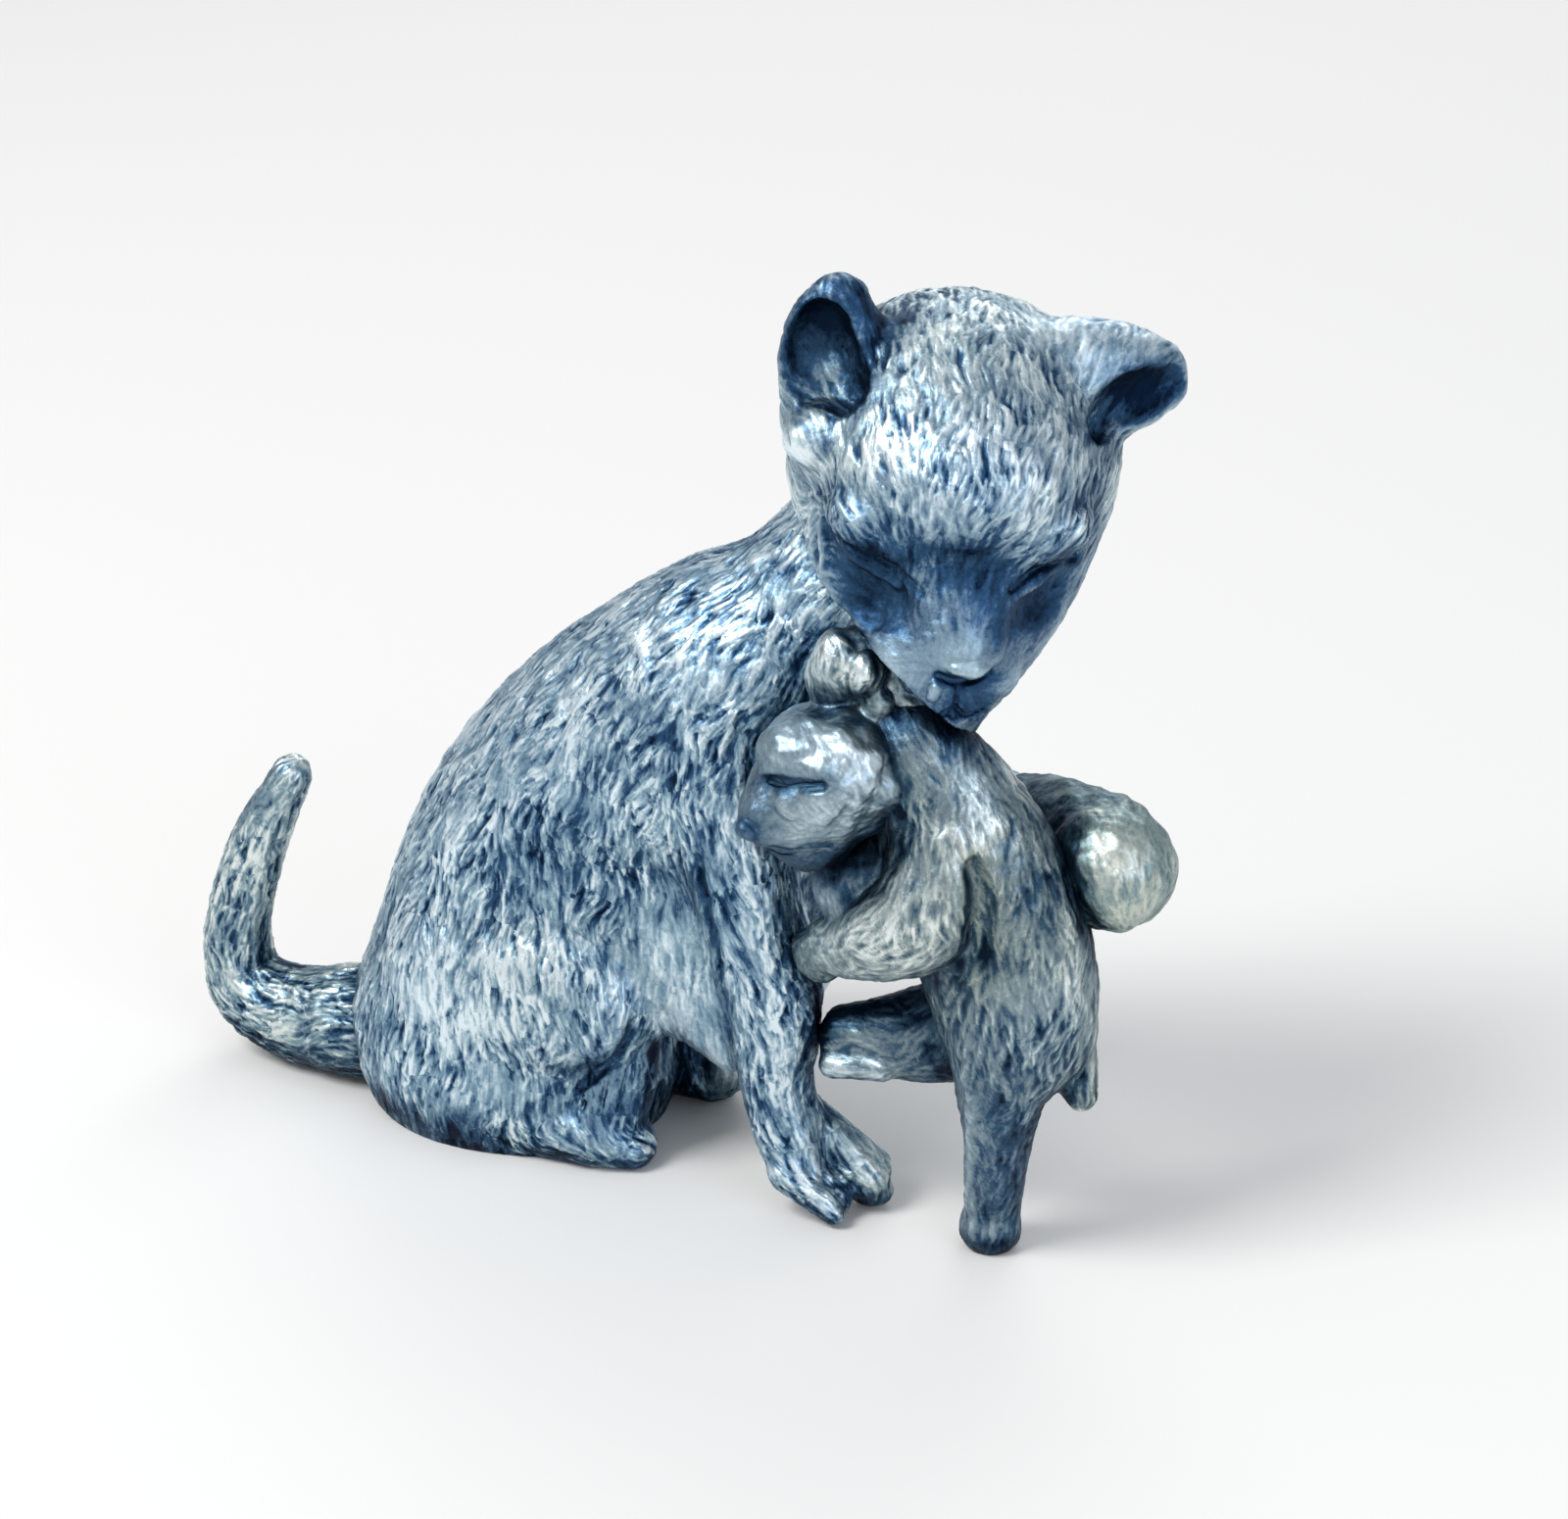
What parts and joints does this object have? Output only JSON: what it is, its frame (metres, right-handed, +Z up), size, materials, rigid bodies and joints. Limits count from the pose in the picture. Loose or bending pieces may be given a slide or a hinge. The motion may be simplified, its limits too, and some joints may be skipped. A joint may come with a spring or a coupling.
{
  "type": "cat figurine",
  "caption": "Small cast-metal ornament of a seated mother cat bowing her head over a kitten that stands against her breast, for display on a flat surface.",
  "frame": {"origin": "on the flat underside of the mother's seat, below her back, at the height of the shelf", "axes": "+X is the way the mother's body faces, towards the kitten; +Z is up; the mother turns her head to -Y, the side that the kitten's face looks to"},
  "size_m": [0.0516, 0.0201, 0.0449],
  "materials": {
    "aged_metal": "white metal, darkened in the fur grooves and rubbed bright on the high strokes",
    "burnished_metal": "white metal, lightly darkened, the crown and nose rubbed silvery",
    "kitten_metal": "white metal, smooth and rubbed on the arm and face, with a faint brown tarnish underneath"
  },
  "bodies": {
    "root": {"mother_body": "aged_metal", "mother_head": "burnished_metal", "mother_tail": "aged_metal", "mother_far_foreleg": "aged_metal", "kitten_body": "kitten_metal", "kitten_head": "kitten_metal"}
  },
  "joints": []
}
